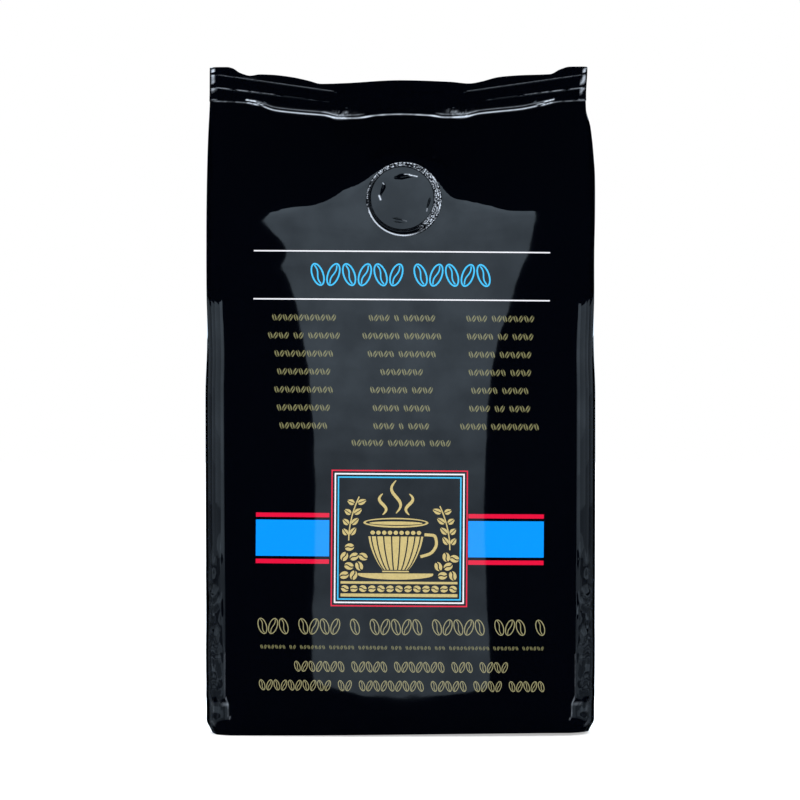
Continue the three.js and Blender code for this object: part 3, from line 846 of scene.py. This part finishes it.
valveShape = {
    "radius": 9.78,
    "rings": 82,
    "spokes": 480,
    "disc": dict(x=-0.43, z=0.28, radius=8.15, height=0.16),   # a little off the weld's middle
    "lift": 0.34,                # mm, the weld stands this far off the film
    "edge": (9.5, 9.75),         # mm, where the weld slopes down to the film
    "channelDepth": 0.24,        # share of the channel's width
    "weldHeight": 0.16,
    "knurl": 0.13,
    "knurlPitch": 0.66,
    "weldMiddle": 42,            # degrees round from the right, where the weld is widest
    "weldReach": (78, 112),
    "rim": dict(radius=9.42, height=0.34, width=0.2),
    # pinch marks in the disc: line in mm, depth at its two ends and in the middle
    "pinches": [dict(start=(-2.2, 5.45), end=(3.3, 6.1), depths=(0.16, 0.3, 0.06)),
                dict(start=(-4.95, 4.2), end=(-6.15, 0.6), depths=(0.05, 0.19, 0.06)),
                dict(start=(6.65, 0.4), end=(5.85, -2.7), depths=(0.04, 0.11, 0.04)),
                dict(start=(-2.9, -4.85), end=(0.5, -5.55), depths=(0.04, 0.09, 0.04)),
                dict(start=(-2.7, -5.75), end=(0.2, -6.1), depths=(0.03, 0.07, 0.03))],
    "pinchSlopes": (0.6, 0.3),
    # painted highlight streaks beside the marks: line in mm, half width, share
    "streaks": [(1.4, 6.25, 3.4, 5.85, 0.13, 0.8), (0.1, 6.45, 1.5, 6.4, 0.08, 0.5),
                (-6.35, 0.9, -5.95, -0.15, 0.17, 0.8), (-5.4, 4.15, -5.1, 3.85, 0.1, 0.5),
                (5.95, -2.5, 5.85, -3.1, 0.11, 0.4), (-0.4, -5.4, 0.7, -5.75, 0.08, 0.15)],
    # painted highlights on the rim, a bright arc and a speckled glint, in degrees round from the right
    "arc": dict(low=192, high=302, width=0.15, share=0.9),
    "glint": dict(middle=150, full=45, gone=75, share=0.7),
    "speckSize": 0.25,
    "rowPitch": 0.55,            # mm between the rows of the knurling
}


def valvePlaces(radius, angle):
    v = valveShape
    x, z = radius * np.cos(angle), radius * np.sin(angle)
    fromWeld = np.abs((np.degrees(angle) - v["weldMiddle"] + 180) % 360 - 180)
    weld = 1 - smoothStep(*v["weldReach"], fromWeld)
    outside = np.hypot(x - v["disc"]["x"], z - v["disc"]["z"]) - v["disc"]["radius"]
    return x, z, weld, outside


def onRim(radius, width):
    return np.exp(-((radius - valveShape["rim"]["radius"]) / width) ** 2)


def valveRelief(radius, angle):
    v = valveShape
    x, z, weld, outside = valvePlaces(radius, angle)
    height = v["lift"] * (1 - smoothStep(*v["edge"], radius))
    height = height + v["disc"]["height"] * (1 - smoothStep(-0.1, 0.3, outside))
    toRim = np.clip(v["rim"]["radius"] - 0.2 - radius, 0, None)
    inChannel = np.clip(outside, 0, None)
    wide = inChannel + toRim + 1e-6
    share = inChannel / wide
    height = height - v["channelDepth"] * wide * np.minimum(share / 0.4, (1 - share) / 0.6) * (
        1 - weld) * (inChannel > 0)
    turns = round(2 * math.pi * 8.9 / v["knurlPitch"])
    knurl = np.cos(turns * angle + 2.1 * radius) * np.cos((radius - 8) * 2 * np.pi / v["knurlPitch"])
    band = smoothStep(0, 0.3, outside) * (1 - smoothStep(*v["edge"], radius))
    height = height + band * weld * (v["weldHeight"] + v["knurl"] * knurl)
    rim = v["rim"]
    height = height + rim["height"] * onRim(radius, rim["width"]) * (1 - 0.7 * weld)
    steep, gentle = v["pinchSlopes"]
    for pinch in v["pinches"]:
        along, across, beyond = fromLine(x, z, pinch["start"], pinch["end"])
        deep = curveThrough(list(zip((0, 0.3, 1), pinch["depths"])), along)
        height = height - np.clip(deep - steep * np.clip(-across, 0, None) - gentle * np.clip(across, 0, None)
                                  - 0.5 * beyond, 0, None)
    return height


def valveHighlightShare(radius, angle):
    # painted highlights of the valve: the bright rim arc, sparkles on the knurled weld, a speckled glint on
    # the rim and streaks beside the pinch marks
    v = valveShape
    x, z, weld, outside = valvePlaces(radius, angle)
    degrees = np.degrees(angle) % 360
    specks = specksAt(radius, angle * 9, v["speckSize"])
    arc = v["arc"]
    onArc = smoothStep(arc["low"], arc["low"] + 10, degrees)
    onArc = onArc * (1 - smoothStep(arc["high"] - 30, arc["high"], degrees))
    share = arc["share"] * onArc * onRim(radius, arc["width"])
    band = smoothStep(0.05, 0.3, outside) * (1 - smoothStep(9.55, 9.75, radius))
    rows = 0.62 + 0.38 * np.cos(2 * np.pi * (radius - 9.4) / v["rowPitch"])
    share = share + weld * band * rows * np.clip(specks * 2.6 - 1.25, 0, 1)
    glint = v["glint"]
    near = 1 - smoothStep(glint["full"], glint["gone"], np.abs(degrees - glint["middle"]))
    share = share + glint["share"] * near * np.clip(specks * 2 - 0.9, 0, 1) * onRim(radius, v["rim"]["width"])
    share = share + highlightStrokes(x, z, v["streaks"], specks)
    return np.clip(share, 0, 1)


def buildValve():
    v = valveShape
    radii = np.linspace(0, v["radius"], v["rings"] + 1)[1:]
    angles = np.arange(v["spokes"]) * 2 * np.pi / v["spokes"]
    radius, angle = np.meshgrid(radii, angles, indexing="ij")
    height = valveRelief(radius, angle)
    height[-1] = -0.1            # the outermost ring goes under the film
    local = np.stack([radius * np.cos(angle), radius * np.sin(angle), height], -1).reshape(-1, 3)
    rim = local[-v["spokes"]:].copy()
    rim[:, 2] = -0.6
    local = np.concatenate([local, rim, [[0, 0, v["lift"] + v["disc"]["height"]], [0, 0, -0.6]]])
    out = valveNormal
    right = np.cross([0, 0, 1], out)
    right /= np.linalg.norm(right) * np.sign(right[0])
    upward = np.cross(out, right) * np.sign(np.cross(out, right)[2])
    seatDepth = frontDepth(valveMiddle[:1], valveMiddle[2:])[0]
    seat = np.array([valveMiddle[0], -seatDepth, valveMiddle[2]])
    points = seat + local[:, :1] * right + local[:, 1:2] * upward + local[:, 2:] * out
    spokes = v["spokes"]
    around = np.arange(spokes)
    following = (around + 1) % spokes
    faces = []
    for level in range(v["rings"]):
        low, high = level * spokes, (level + 1) * spokes
        faces += np.stack([low + around, high + around, high + following, low + following], 1).tolist()
    front, back = len(local) - 2, len(local) - 1
    last = v["rings"] * spokes
    faces += [(front, int(a), int(b)) for a, b in zip(around, following)]
    faces += [(back, int(last + b), int(last + a)) for a, b in zip(around, following)]
    piece = makeMesh("degassingValve", points, faces, filmMaterial)
    # painted highlight share for the valve's face, none on its underside
    shares = np.concatenate([valveHighlightShare(radius, angle).ravel(), np.zeros(spokes + 2)])
    setPaintedHighlightShare(piece, shares)
    return piece


valvePiece = buildValve()
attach(valvePiece, "root")
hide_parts("valve")
print("valve made,", len(valvePiece.data.polygons), "faces")


# print: gravure inks on the film, each a thin closed skin that follows the panel

printSetup = {
    "turn": -0.007,              # the web ran a little askew
    "turnMiddle": 80,            # mm above the table
    "above": 0.035,              # mm of ink above the film, thicker than real so that it holds together
    "below": 0.03,
    "spacing": 1.1,              # mm between points inside a broad shape
    "roughness": 0.03,
    "mottleSize": 0.5,           # mm, gravure cells run together, drawn as coarse as they need to show
}


def makeInkMaterial(name, colour, mottle):
    # gravure ink under gloss lacquer: flat colour with a faint cell mottle, as shiny as the film
    material, tree = newMaterial(name)
    place = addNode(tree, "ShaderNodeTexCoord").outputs["Object"]
    cells = addNoise(tree, printSetup["mottleSize"], 3, place)
    ink = hexToLinear(colour)
    thin = [c * (1 - mottle) for c in ink[:3]] + [1]
    colours = addNode(tree, "ShaderNodeMix", {"data_type": "RGBA", 6: thin, 7: ink}, {0: cells})
    beanBump = addBump(tree, filmSetup["beanDepth"], addNoise(tree, filmSetup["beanSize"], 1, place))
    finishMaterial(tree, {"IOR": filmSetup["index"], "Roughness": printSetup["roughness"]},
                   Normal=beanBump, **{"Base Color": colours.outputs[2]})
    return material


inks = {
    "gold": makeInkMaterial("goldBronzeInk", "#CDB877", 0.35),
    "paleGold": makeInkMaterial("thinGoldBronzeInk", "#74714F", 0.25),
    "lineGold": makeInkMaterial("goldBronzeLineInk", "#96906A", 0.3),
    "white": makeInkMaterial("whiteInk", "#E6E4E8", 0.08),
    "red": makeInkMaterial("redInk", "#D91339", 0.1),
    "blue": makeInkMaterial("blueInk", "#098DF4", 0.08),
    "cyan": makeInkMaterial("cyanInk", "#35B4E6", 0.08),
}


def insideLoops(points, loops):
    inside = np.zeros(len(points), bool)
    for loop in loops:
        a, b = loop, np.roll(loop, -1, axis=0)
        x, z = points[:, :1], points[:, 1:]
        crosses = (a[:, 1] > z) != (b[:, 1] > z)
        with np.errstate(divide="ignore", invalid="ignore"):
            at = a[:, 0] + (z - a[:, 1]) * (b[:, 0] - a[:, 0]) / (b[:, 1] - a[:, 1])
        inside ^= (np.sum(crosses & (x < at), axis=1) % 2).astype(bool)
    return inside


def splitLoop(loop, spacing):
    loop = np.asarray(loop, float)
    pieces = []
    for a, b in zip(loop, np.roll(loop, -1, axis=0)):
        count = max(1, math.ceil(np.hypot(*(b - a)) / spacing))
        pieces.append(a + (b - a) * np.arange(count)[:, None] / count)
    return np.concatenate(pieces)


def fillShape(loops):
    spacing = printSetup["spacing"]
    loops = [splitLoop(loop, spacing) for loop in loops]
    outline = np.concatenate(loops)
    edges, start = [], 0
    for loop in loops:
        edges += [(start + k, start + (k + 1) % len(loop)) for k in range(len(loop))]
        start += len(loop)
    low, high = outline.min(axis=0), outline.max(axis=0)
    if min(high - low) > 1.5 * spacing:
        steps = [np.arange(low[axis], high[axis], spacing) for axis in (0, 1)]
        grid = np.stack(np.meshgrid(*steps), -1)
        grid = grid.reshape(-1, 2) + spacing / 2
        grid = grid[insideLoops(grid, loops)]
        nearest = np.sqrt(((grid[:, None] - outline[None]) ** 2).sum(-1)).min(axis=1) if len(grid) else grid
        outline = np.concatenate([outline, grid[nearest > spacing * 0.45]]) if len(grid) else outline
    points, _, triangles, *_ = delaunay_2d_cdt([Vector(p) for p in outline], edges, [], 0, 1e-6)
    points, triangles = np.array(points), np.array(triangles)
    return points, triangles[insideLoops(points[triangles].mean(axis=1), loops)]


def printInk(name, shapes, ink):
    points, faces, count = [], [], 0
    for loops in shapes:
        flat, triangles = fillShape(loops)
        x = flat[:, 0] + printSetup["turn"] * (printSetup["turnMiddle"] - flat[:, 1])
        z = flat[:, 1] + printSetup["turn"] * flat[:, 0]
        depth = frontDepth(x, z)
        for lift in (printSetup["above"], -printSetup["below"]):
            points.append(np.stack([x, -(depth + lift), z], 1))
        size = len(flat)
        sides = {(int(t[k]), int(t[(k + 1) % 3])) for t in triangles for k in range(3)}
        faces += (triangles + count).tolist()
        faces += (triangles[:, ::-1] + count + size).tolist()
        faces += [[b + count, a + count, a + count + size, b + count + size]
                  for a, b in sorted(sides) if (b, a) not in sides]
        count += 2 * size
    piece = makeMesh(name, np.concatenate(points), faces, inks[ink])
    piece.data.set_sharp_from_angle(angle=math.radians(40))
    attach(piece, "root")
    print(name, "printed,", len(faces), "faces")


def rectangle(left, right, low, high):
    return np.array([(left, low), (right, low), (right, high), (left, high)], float)


def frameRing(middleX, middleZ, wide, tall, line):
    halfX, halfZ = wide / 2, tall / 2
    return [rectangle(middleX - halfX - grow, middleX + halfX + grow, middleZ - halfZ - grow,
                      middleZ + halfZ + grow) for grow in (line / 2, -line / 2)]


def moved(points, x, z, turn=0):
    c, s = math.cos(math.radians(turn)), math.sin(math.radians(turn))
    return np.asarray(points, float) @ np.array([[c, s], [-s, c]]) + (x, z)


def ellipse(wide, tall, count=20):
    turns = np.arange(count) * 2 * np.pi / count
    return np.stack([wide / 2 * np.cos(turns), tall / 2 * np.sin(turns)], 1)


def stroke(points, widths):
    points = np.asarray(points, float)
    along = np.gradient(points, axis=0)
    across = np.stack([-along[:, 1], along[:, 0]], 1) / np.linalg.norm(along, axis=1, keepdims=True)
    half = np.broadcast_to(np.asarray(widths, float) / 2, len(points))[:, None]
    return np.concatenate([points - across * half, (points + across * half)[::-1]])


def beanSlit(tall, reach, count):
    at = np.linspace(-1, 1, count)
    return np.stack([reach * np.sin(at * np.pi), tall / 2 * at], 1)


def solidBean(x, z, wide, tall, turn, slit, count=7):
    # a bean as two halves with its slit left bare
    curve = beanSlit(tall * 0.97, wide * 0.1, count)
    turns = np.linspace(-80, 80, count) * math.pi / 180
    arc = np.stack([wide / 2 * np.cos(turns), tall / 2 * np.sin(turns)], 1)
    right = np.concatenate([arc, (curve + (slit / 2, 0))[::-1]])
    left = np.concatenate([(arc * (-1, 1))[::-1], curve - (slit / 2, 0)])
    return [[moved(right, x, z, turn)], [moved(left, x, z, turn)]]


def openBean(x, z, wide, tall, turn, line):
    # a bean in outline with its slit as a line
    inner = ellipse(wide - 2 * line, tall - 2 * line)
    slit = stroke(beanSlit(tall - 2.9 * line, wide * 0.09, 9), line * 0.85)
    return [[moved(ellipse(wide, tall), x, z, turn), moved(inner, x, z, turn)], [moved(slit, x, z, turn)]]


def leaf(x, z, length, wide, turn, rib):
    # a leaf as two halves beside a bare midrib
    at = np.linspace(0, 1, 9)
    bulge = wide / 2 * np.sin(np.pi * at ** 0.8)
    upper = np.stack([at * length, rib / 2 + bulge], 1)
    half = np.concatenate([[(0.04 * length, rib / 2), (0.96 * length, rib / 2)], upper[-2:0:-1]])
    return [[moved(half, x, z, turn)], [moved(half[::-1] * (1, -1), x, z, turn)]]


layout = {                       # mm; x from the middle, z from the table
    "rules": dict(left=-37.7, right=38.1, heights=(123.85, 111.53), line=0.33),
    "beanRow": dict(z=117.85, groups=((-21.3, 6), (5.0, 5)), pitch=4.02, wide=3.2, tall=6.2,
                    lean=20, line=0.42),
    "frame": dict(x=0.03, z=50.6, red=(34.5, 34.5, 0.32), white=(32.8, 32.8, 0.38), blue=(31.2, 31.1, 0.34)),
    "bars": dict(left=(-36.6, -17.85), right=(17.6, 36.9), blue=(45.9, 55.15), redTop=(55.85, 56.95),
                 redBottom=(44.0, 45.15)),
    "columns": (-24.7, 0.3, 25.4),
    "rowTop": 106.8,
    "rowPitch": 4.6,
    "rowBean": dict(wide=1.04, tall=1.95, lean=22, slit=0.27, pitch=1.38, gap=1.0),
    "rowWords": [((12,), (4, 1, 6), (4, 8)), ((4, 2, 6), (7, 7), (5, 2, 4)), ((11,), (5, 7), (5, 6)),
                 ((10,), (8,), (7, 4)), ((11,), (7, 4), (5, 5)), ((10,), (5, 5), (4, 2, 4)),
                 ((9,), (4, 1, 4), (5, 9))],
    "rowLast": (6, 7, 4),
    "bigRow": dict(z=28.0, groups=(3, 4, 1, 5, 5, 3, 1), wide=2.3, tall=4.3, lean=18, line=0.25, pitch=2.72,
                   gap=2.3, middle=0.7),
    "tinyRow": dict(z=22.7, wide=0.62, tall=1.2, lean=20, slit=0.14, pitch=0.95, gap=0.8, middle=0.9,
                    groups=(7, 2, 7, 7, 8, 3, 7, 3, 11, 7, 6)),
    "lowRows": [dict(z=17.8, middle=0.7, groups=(7, 5, 7, 3, 4)),
                dict(z=12.95, middle=0.9, groups=(10, 2, 9, 5, 4, 5))],
    "lowBean": dict(wide=1.5, tall=2.9, lean=18, line=0.21, pitch=1.86, gap=1.6),
}


def wordRow(middle, z, groups, bean, shapeOf):
    total = sum(groups) * bean["pitch"] + (len(groups) - 1) * bean["gap"]
    x = middle - total / 2 + bean["pitch"] / 2
    shapes = []
    for group in groups:
        for index in range(group):
            shapes += shapeOf(x, z, -bean["lean"] if index % 2 else bean["lean"])
            x += bean["pitch"]
        x += bean["gap"]
    return shapes


def smallBean(bean):
    return lambda x, z, turn: solidBean(x, z, bean["wide"], bean["tall"], turn, bean["slit"], 5)


def outlineBean(bean):
    return lambda x, z, turn: openBean(x, z, bean["wide"], bean["tall"], turn, bean["line"])


rules = layout["rules"]
ruleShapes = [[rectangle(rules["left"], rules["right"], z - rules["line"] / 2, z + rules["line"] / 2)]
              for z in rules["heights"]]
box = layout["frame"]
printInk("whiteRules", ruleShapes + [frameRing(box["x"], box["z"], *box["white"])], "white")
bars = layout["bars"]


def barsAt(*rows):
    return [[rectangle(*bars[side], *bars[row])] for side in ("left", "right") for row in rows]


printInk("blueBars", barsAt("blue"), "blue")
printInk("redStripes", barsAt("redTop", "redBottom") + [frameRing(box["x"], box["z"], *box["red"])],
         "red")
row = layout["beanRow"]
titleShapes = []
for startX, count in row["groups"]:
    for index in range(count):
        titleShapes += openBean(startX + index * row["pitch"], row["z"], row["wide"], row["tall"],
                                -row["lean"] if index % 2 else row["lean"], row["line"])
printInk("cyanBeanRow", titleShapes, "cyan")
printInk("cyanFrame", [frameRing(box["x"], box["z"], *box["blue"])], "cyan")

rowBean = layout["rowBean"]
rowShapes = []
for index, words in enumerate(layout["rowWords"]):
    for middle, groups in zip(layout["columns"], words):
        rowShapes += wordRow(middle, layout["rowTop"] - index * layout["rowPitch"], groups, rowBean,
                             smallBean(rowBean))
rowShapes += wordRow(layout["columns"][1], layout["rowTop"] - 7 * layout["rowPitch"] + 0.3, layout["rowLast"],
                     rowBean, smallBean(rowBean))
tiny = layout["tinyRow"]
rowShapes += wordRow(tiny["middle"], tiny["z"], tiny["groups"], tiny, smallBean(tiny))
printInk("goldSmallBeans", rowShapes, "paleGold")
big, low = layout["bigRow"], layout["lowBean"]
lineShapes = wordRow(big["middle"], big["z"], big["groups"], big, outlineBean(big))
for entry in layout["lowRows"]:
    lineShapes += wordRow(entry["middle"], entry["z"], entry["groups"], low, outlineBean(low))
printInk("goldBeanLines", lineShapes, "lineGold")


# picture: a steaming cup between heaps of beans and coffee sprigs, the builder's own design

picture = {                      # mm, from the picture's middle and floor
    "rim": 17.6, "foot": 7.2, "rimHalf": 7.6, "footHalf": 3.6, "cupMiddle": -0.9,
    "flutes": 11, "fluteGap": 0.34, "fluteDrop": 1.9, "swell": 0.8,
    "floorHalf": 14.9, "floorLines": ((0.3, 1.1), (3.6, 4.2)), "floorLift": 0.35,
    "floorBeans": dict(count=13, left=-13.8, pitch=2.3, height=2.35, wide=1.7, tall=2.0, lean=12, slit=0.28),
    "saucer": dict(half=9.6, top=6.3, edge=5.9, deep=1.2),
    "footRing": (-3.4, 3.4, 6.6, 6.95),
    "pearls": dict(count=9, left=-5.9, pitch=1.475, drop=0.95, wide=1.15, tall=1.05),
    "mouth": ((16.6, 2.5, 19.2), (15.4, 1.7, 19.25)),        # ovals: wide, tall, height
    "coffee": (13.6, 0.9, 19.1),
    # handle: share of the way, distance out, height
    "handle": ((0, 7.3, 16.2), (0.25, 9.8, 16.0), (0.5, 10.4, 13.9), (0.75, 9.0, 11.5), (1, 6.3, 10.6)),
    "handleWide": 0.75,
    # steam: from the middle, bottom, top, sway
    "steam": ((-3.4, 21.2, 26.6, 0.9), (0, 21.6, 30.0, 1.2), (3.4, 21.2, 26.6, -0.9)),
    # beans of the heaps on the left and on the right: distance out, height, turn
    "heaps": {-1: ((14.0, 5.75, 70), (11.6, 5.75, 15), (12.8, 8.1, 100), (14.0, 10.5, 25), (10.2, 8.1, -30),
                   (11.5, 10.5, 60), (9.2, 10.5, 110), (12.7, 12.9, 80)),
              1: ((13.7, 5.75, 20), (11.1, 5.75, 100), (12.5, 8.1, -60), (14.1, 10.1, 80), (10.0, 8.1, 25),
                  (12.0, 10.5, 15))},
    "heapBean": dict(wide=1.9, tall=2.4, slit=0.32),
    "sprig": dict(out=12.9, bend=2.6, tall=11.2, wide=0.32),
    "sprigFoot": {-1: 14.6, 1: 12.3},
    "leaves": ((0.12, 40), (0.36, 52), (0.6, 62), (0.84, 75)),    # share of the stem, turn from it
    "leaf": dict(outer=2.1, inner=2.5, wide=1.25, rib=0.2, away=0.35, lean=0.9),
}


def cupHalfWidth(height):
    share = (height - picture["foot"]) / (picture["rim"] - picture["foot"])
    swell = np.sin(np.clip(share, 0, 1) * np.pi / 2) ** picture["swell"]
    return picture["footHalf"] + (picture["rimHalf"] - picture["footHalf"]) * swell


def floorShapes():
    half, row = picture["floorHalf"], picture["floorBeans"]
    shapes = [[rectangle(-half, half, *line)] for line in picture["floorLines"]]
    for index in range(row["count"]):
        turn = 90 + (row["lean"] if index % 2 else -row["lean"])
        shapes += solidBean(row["left"] + index * row["pitch"], row["height"], row["wide"], row["tall"], turn,
                            row["slit"])
    return shapes


def cupShapes():
    saucer, pearls = picture["saucer"], picture["pearls"]
    at = np.linspace(0, math.pi, 15)
    bowl = np.stack([saucer["half"] * np.cos(at), saucer["edge"] - saucer["deep"] * np.sin(at)], 1)
    edge = [(-saucer["half"], saucer["top"]), (saucer["half"], saucer["top"])]
    shapes = [[np.concatenate([bowl, edge])], [rectangle(*picture["footRing"])]]
    heights = np.linspace(picture["foot"], picture["rim"] - picture["fluteDrop"], 9)
    half = cupHalfWidth(heights)
    lines = np.sin(np.linspace(-1, 1, picture["flutes"] + 1) * math.pi / 2)
    for low, high in zip(lines[:-1], lines[1:]):
        left = np.stack([half * low + picture["fluteGap"] / 2, heights], 1)
        right = np.stack([half * high - picture["fluteGap"] / 2, heights], 1)
        if np.all(right[:, 0] > left[:, 0] + 0.05):
            shapes.append([np.concatenate([left, right[::-1]])])
    for index in range(pearls["count"]):
        shapes.append([moved(ellipse(pearls["wide"], pearls["tall"], 12),
                             pearls["left"] + index * pearls["pitch"], picture["rim"] - pearls["drop"])])
    shapes.append([moved(ellipse(wide, tall, 32), 0, height) for wide, tall, height in picture["mouth"]])
    wide, tall, height = picture["coffee"]
    shapes.append([moved(ellipse(wide, tall, 28), 0, height)])
    share, out, height = np.array(picture["handle"]).T
    bend = np.linspace(0, 1, 15)
    handle = [curveThrough(list(zip(share, stops)), bend) for stops in (out, height)]
    shapes.append([stroke(np.stack(handle, 1), picture["handleWide"])])
    at = np.linspace(0, 1, 17)
    for middle, low, high, sway in picture["steam"]:
        wisp = np.stack([middle + sway * np.sin(at * 2 * np.pi), low + (high - low) * at], 1)
        shapes.append([stroke(wisp, 0.2 + 0.6 * np.sin(np.pi * at) ** 0.7)])
    return [[loop + (picture["cupMiddle"], 0) for loop in loops] for loops in shapes]


def sprigShapes(side):
    bean, blade, sprig = picture["heapBean"], picture["leaf"], picture["sprig"]
    shapes = []
    for x, height, turn in picture["heaps"][side]:
        shapes += solidBean(side * x, height, bean["wide"], bean["tall"], side * turn, bean["slit"], 9)

    def stemAt(share):
        return (side * (sprig["out"] - sprig["bend"] * share ** 2),
                picture["sprigFoot"][side] + sprig["tall"] * share)

    shapes.append([stroke(np.stack(stemAt(np.linspace(0, 1, 12)), 1), sprig["wide"])])
    for share, turn in picture["leaves"]:
        x, height = stemAt(share)
        for outward in (-1, 1):
            length = blade["outer"] if outward > 0 else blade["inner"]
            shapes += leaf(x + blade["away"] * outward * side, height, length, blade["wide"],
                           90 - outward * side * turn * blade["lean"], blade["rib"])
    return shapes


pictureFloor = box["z"] - box["blue"][1] / 2 + picture["floorLift"]
pictureInk = [[loop + (box["x"], pictureFloor) for loop in loops]
              for loops in floorShapes() + cupShapes() + sprigShapes(-1) + sprigShapes(1)]
printInk("goldPicture", pictureInk, "gold")
